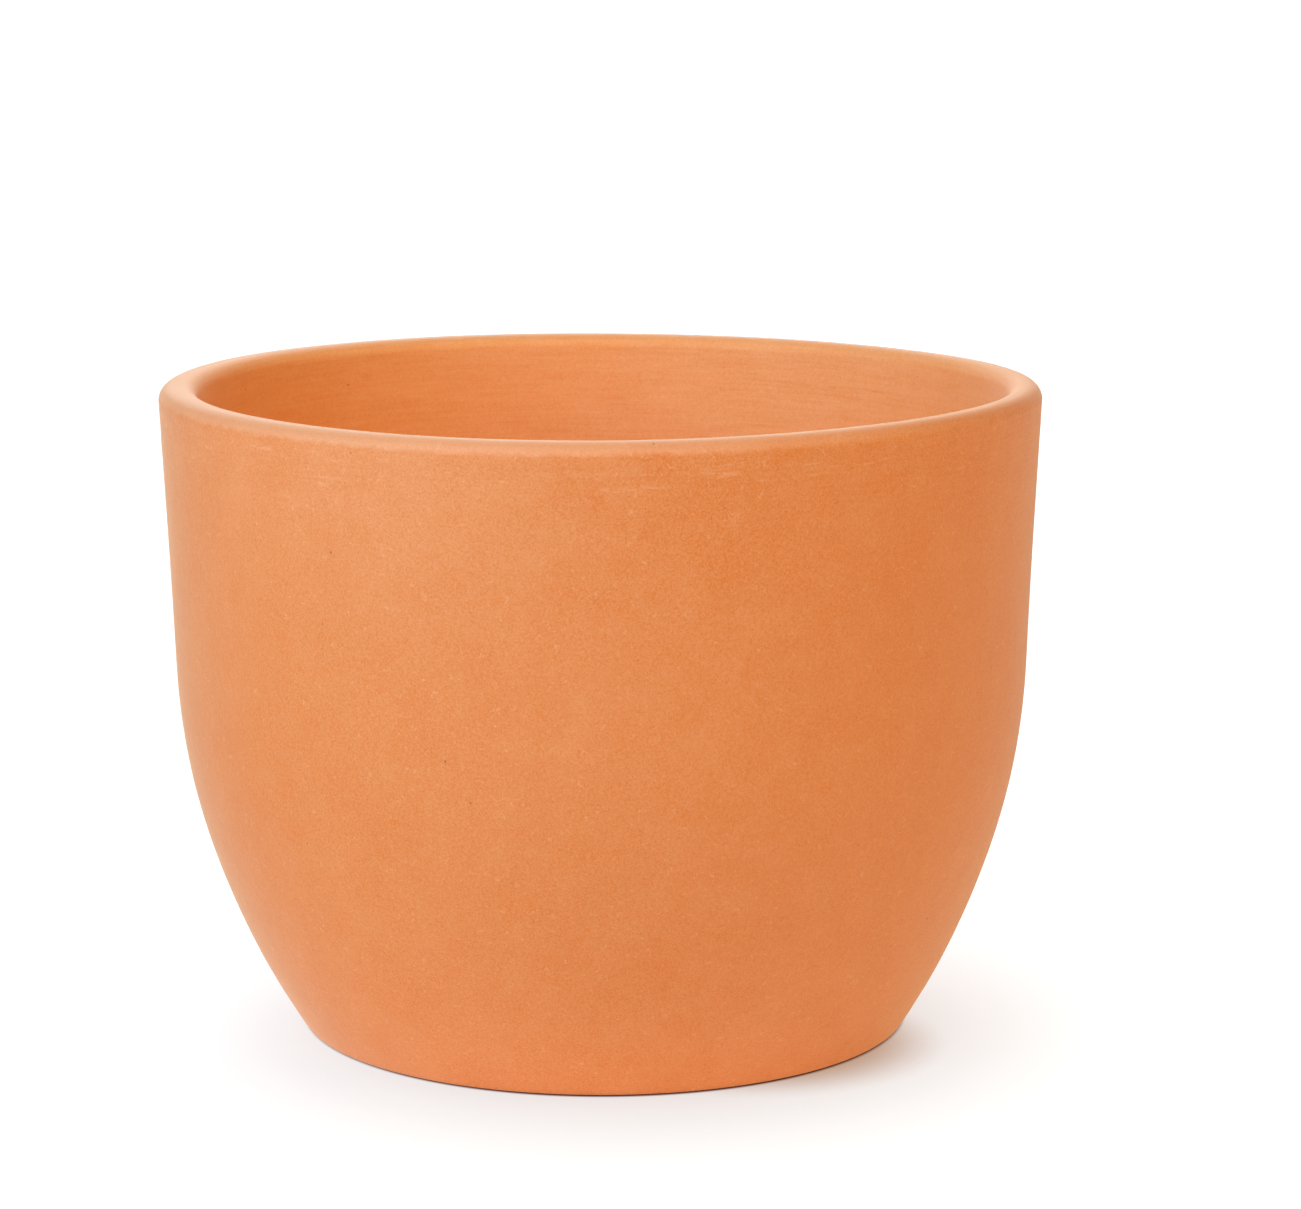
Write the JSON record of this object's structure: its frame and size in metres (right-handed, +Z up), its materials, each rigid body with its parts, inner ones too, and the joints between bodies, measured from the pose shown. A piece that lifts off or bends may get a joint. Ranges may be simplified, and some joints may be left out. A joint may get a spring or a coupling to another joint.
{
  "type": "planter pot",
  "caption": "Rounded terracotta planter, one fired clay body with a soft rim, a nearly upright wall, a round belly, a flat foot and a central drain hole.",
  "frame": {"origin": "middle of the foot, on the surface that the pot stands on", "axes": "+Z up along the pot's axis, through the drain hole and the middle of the rim"},
  "size_m": [0.2999, 0.3, 0.222],
  "materials": {
    "terracotta": "unglazed matte"
  },
  "bodies": {
    "root": {"pot": "terracotta"}
  },
  "joints": []
}
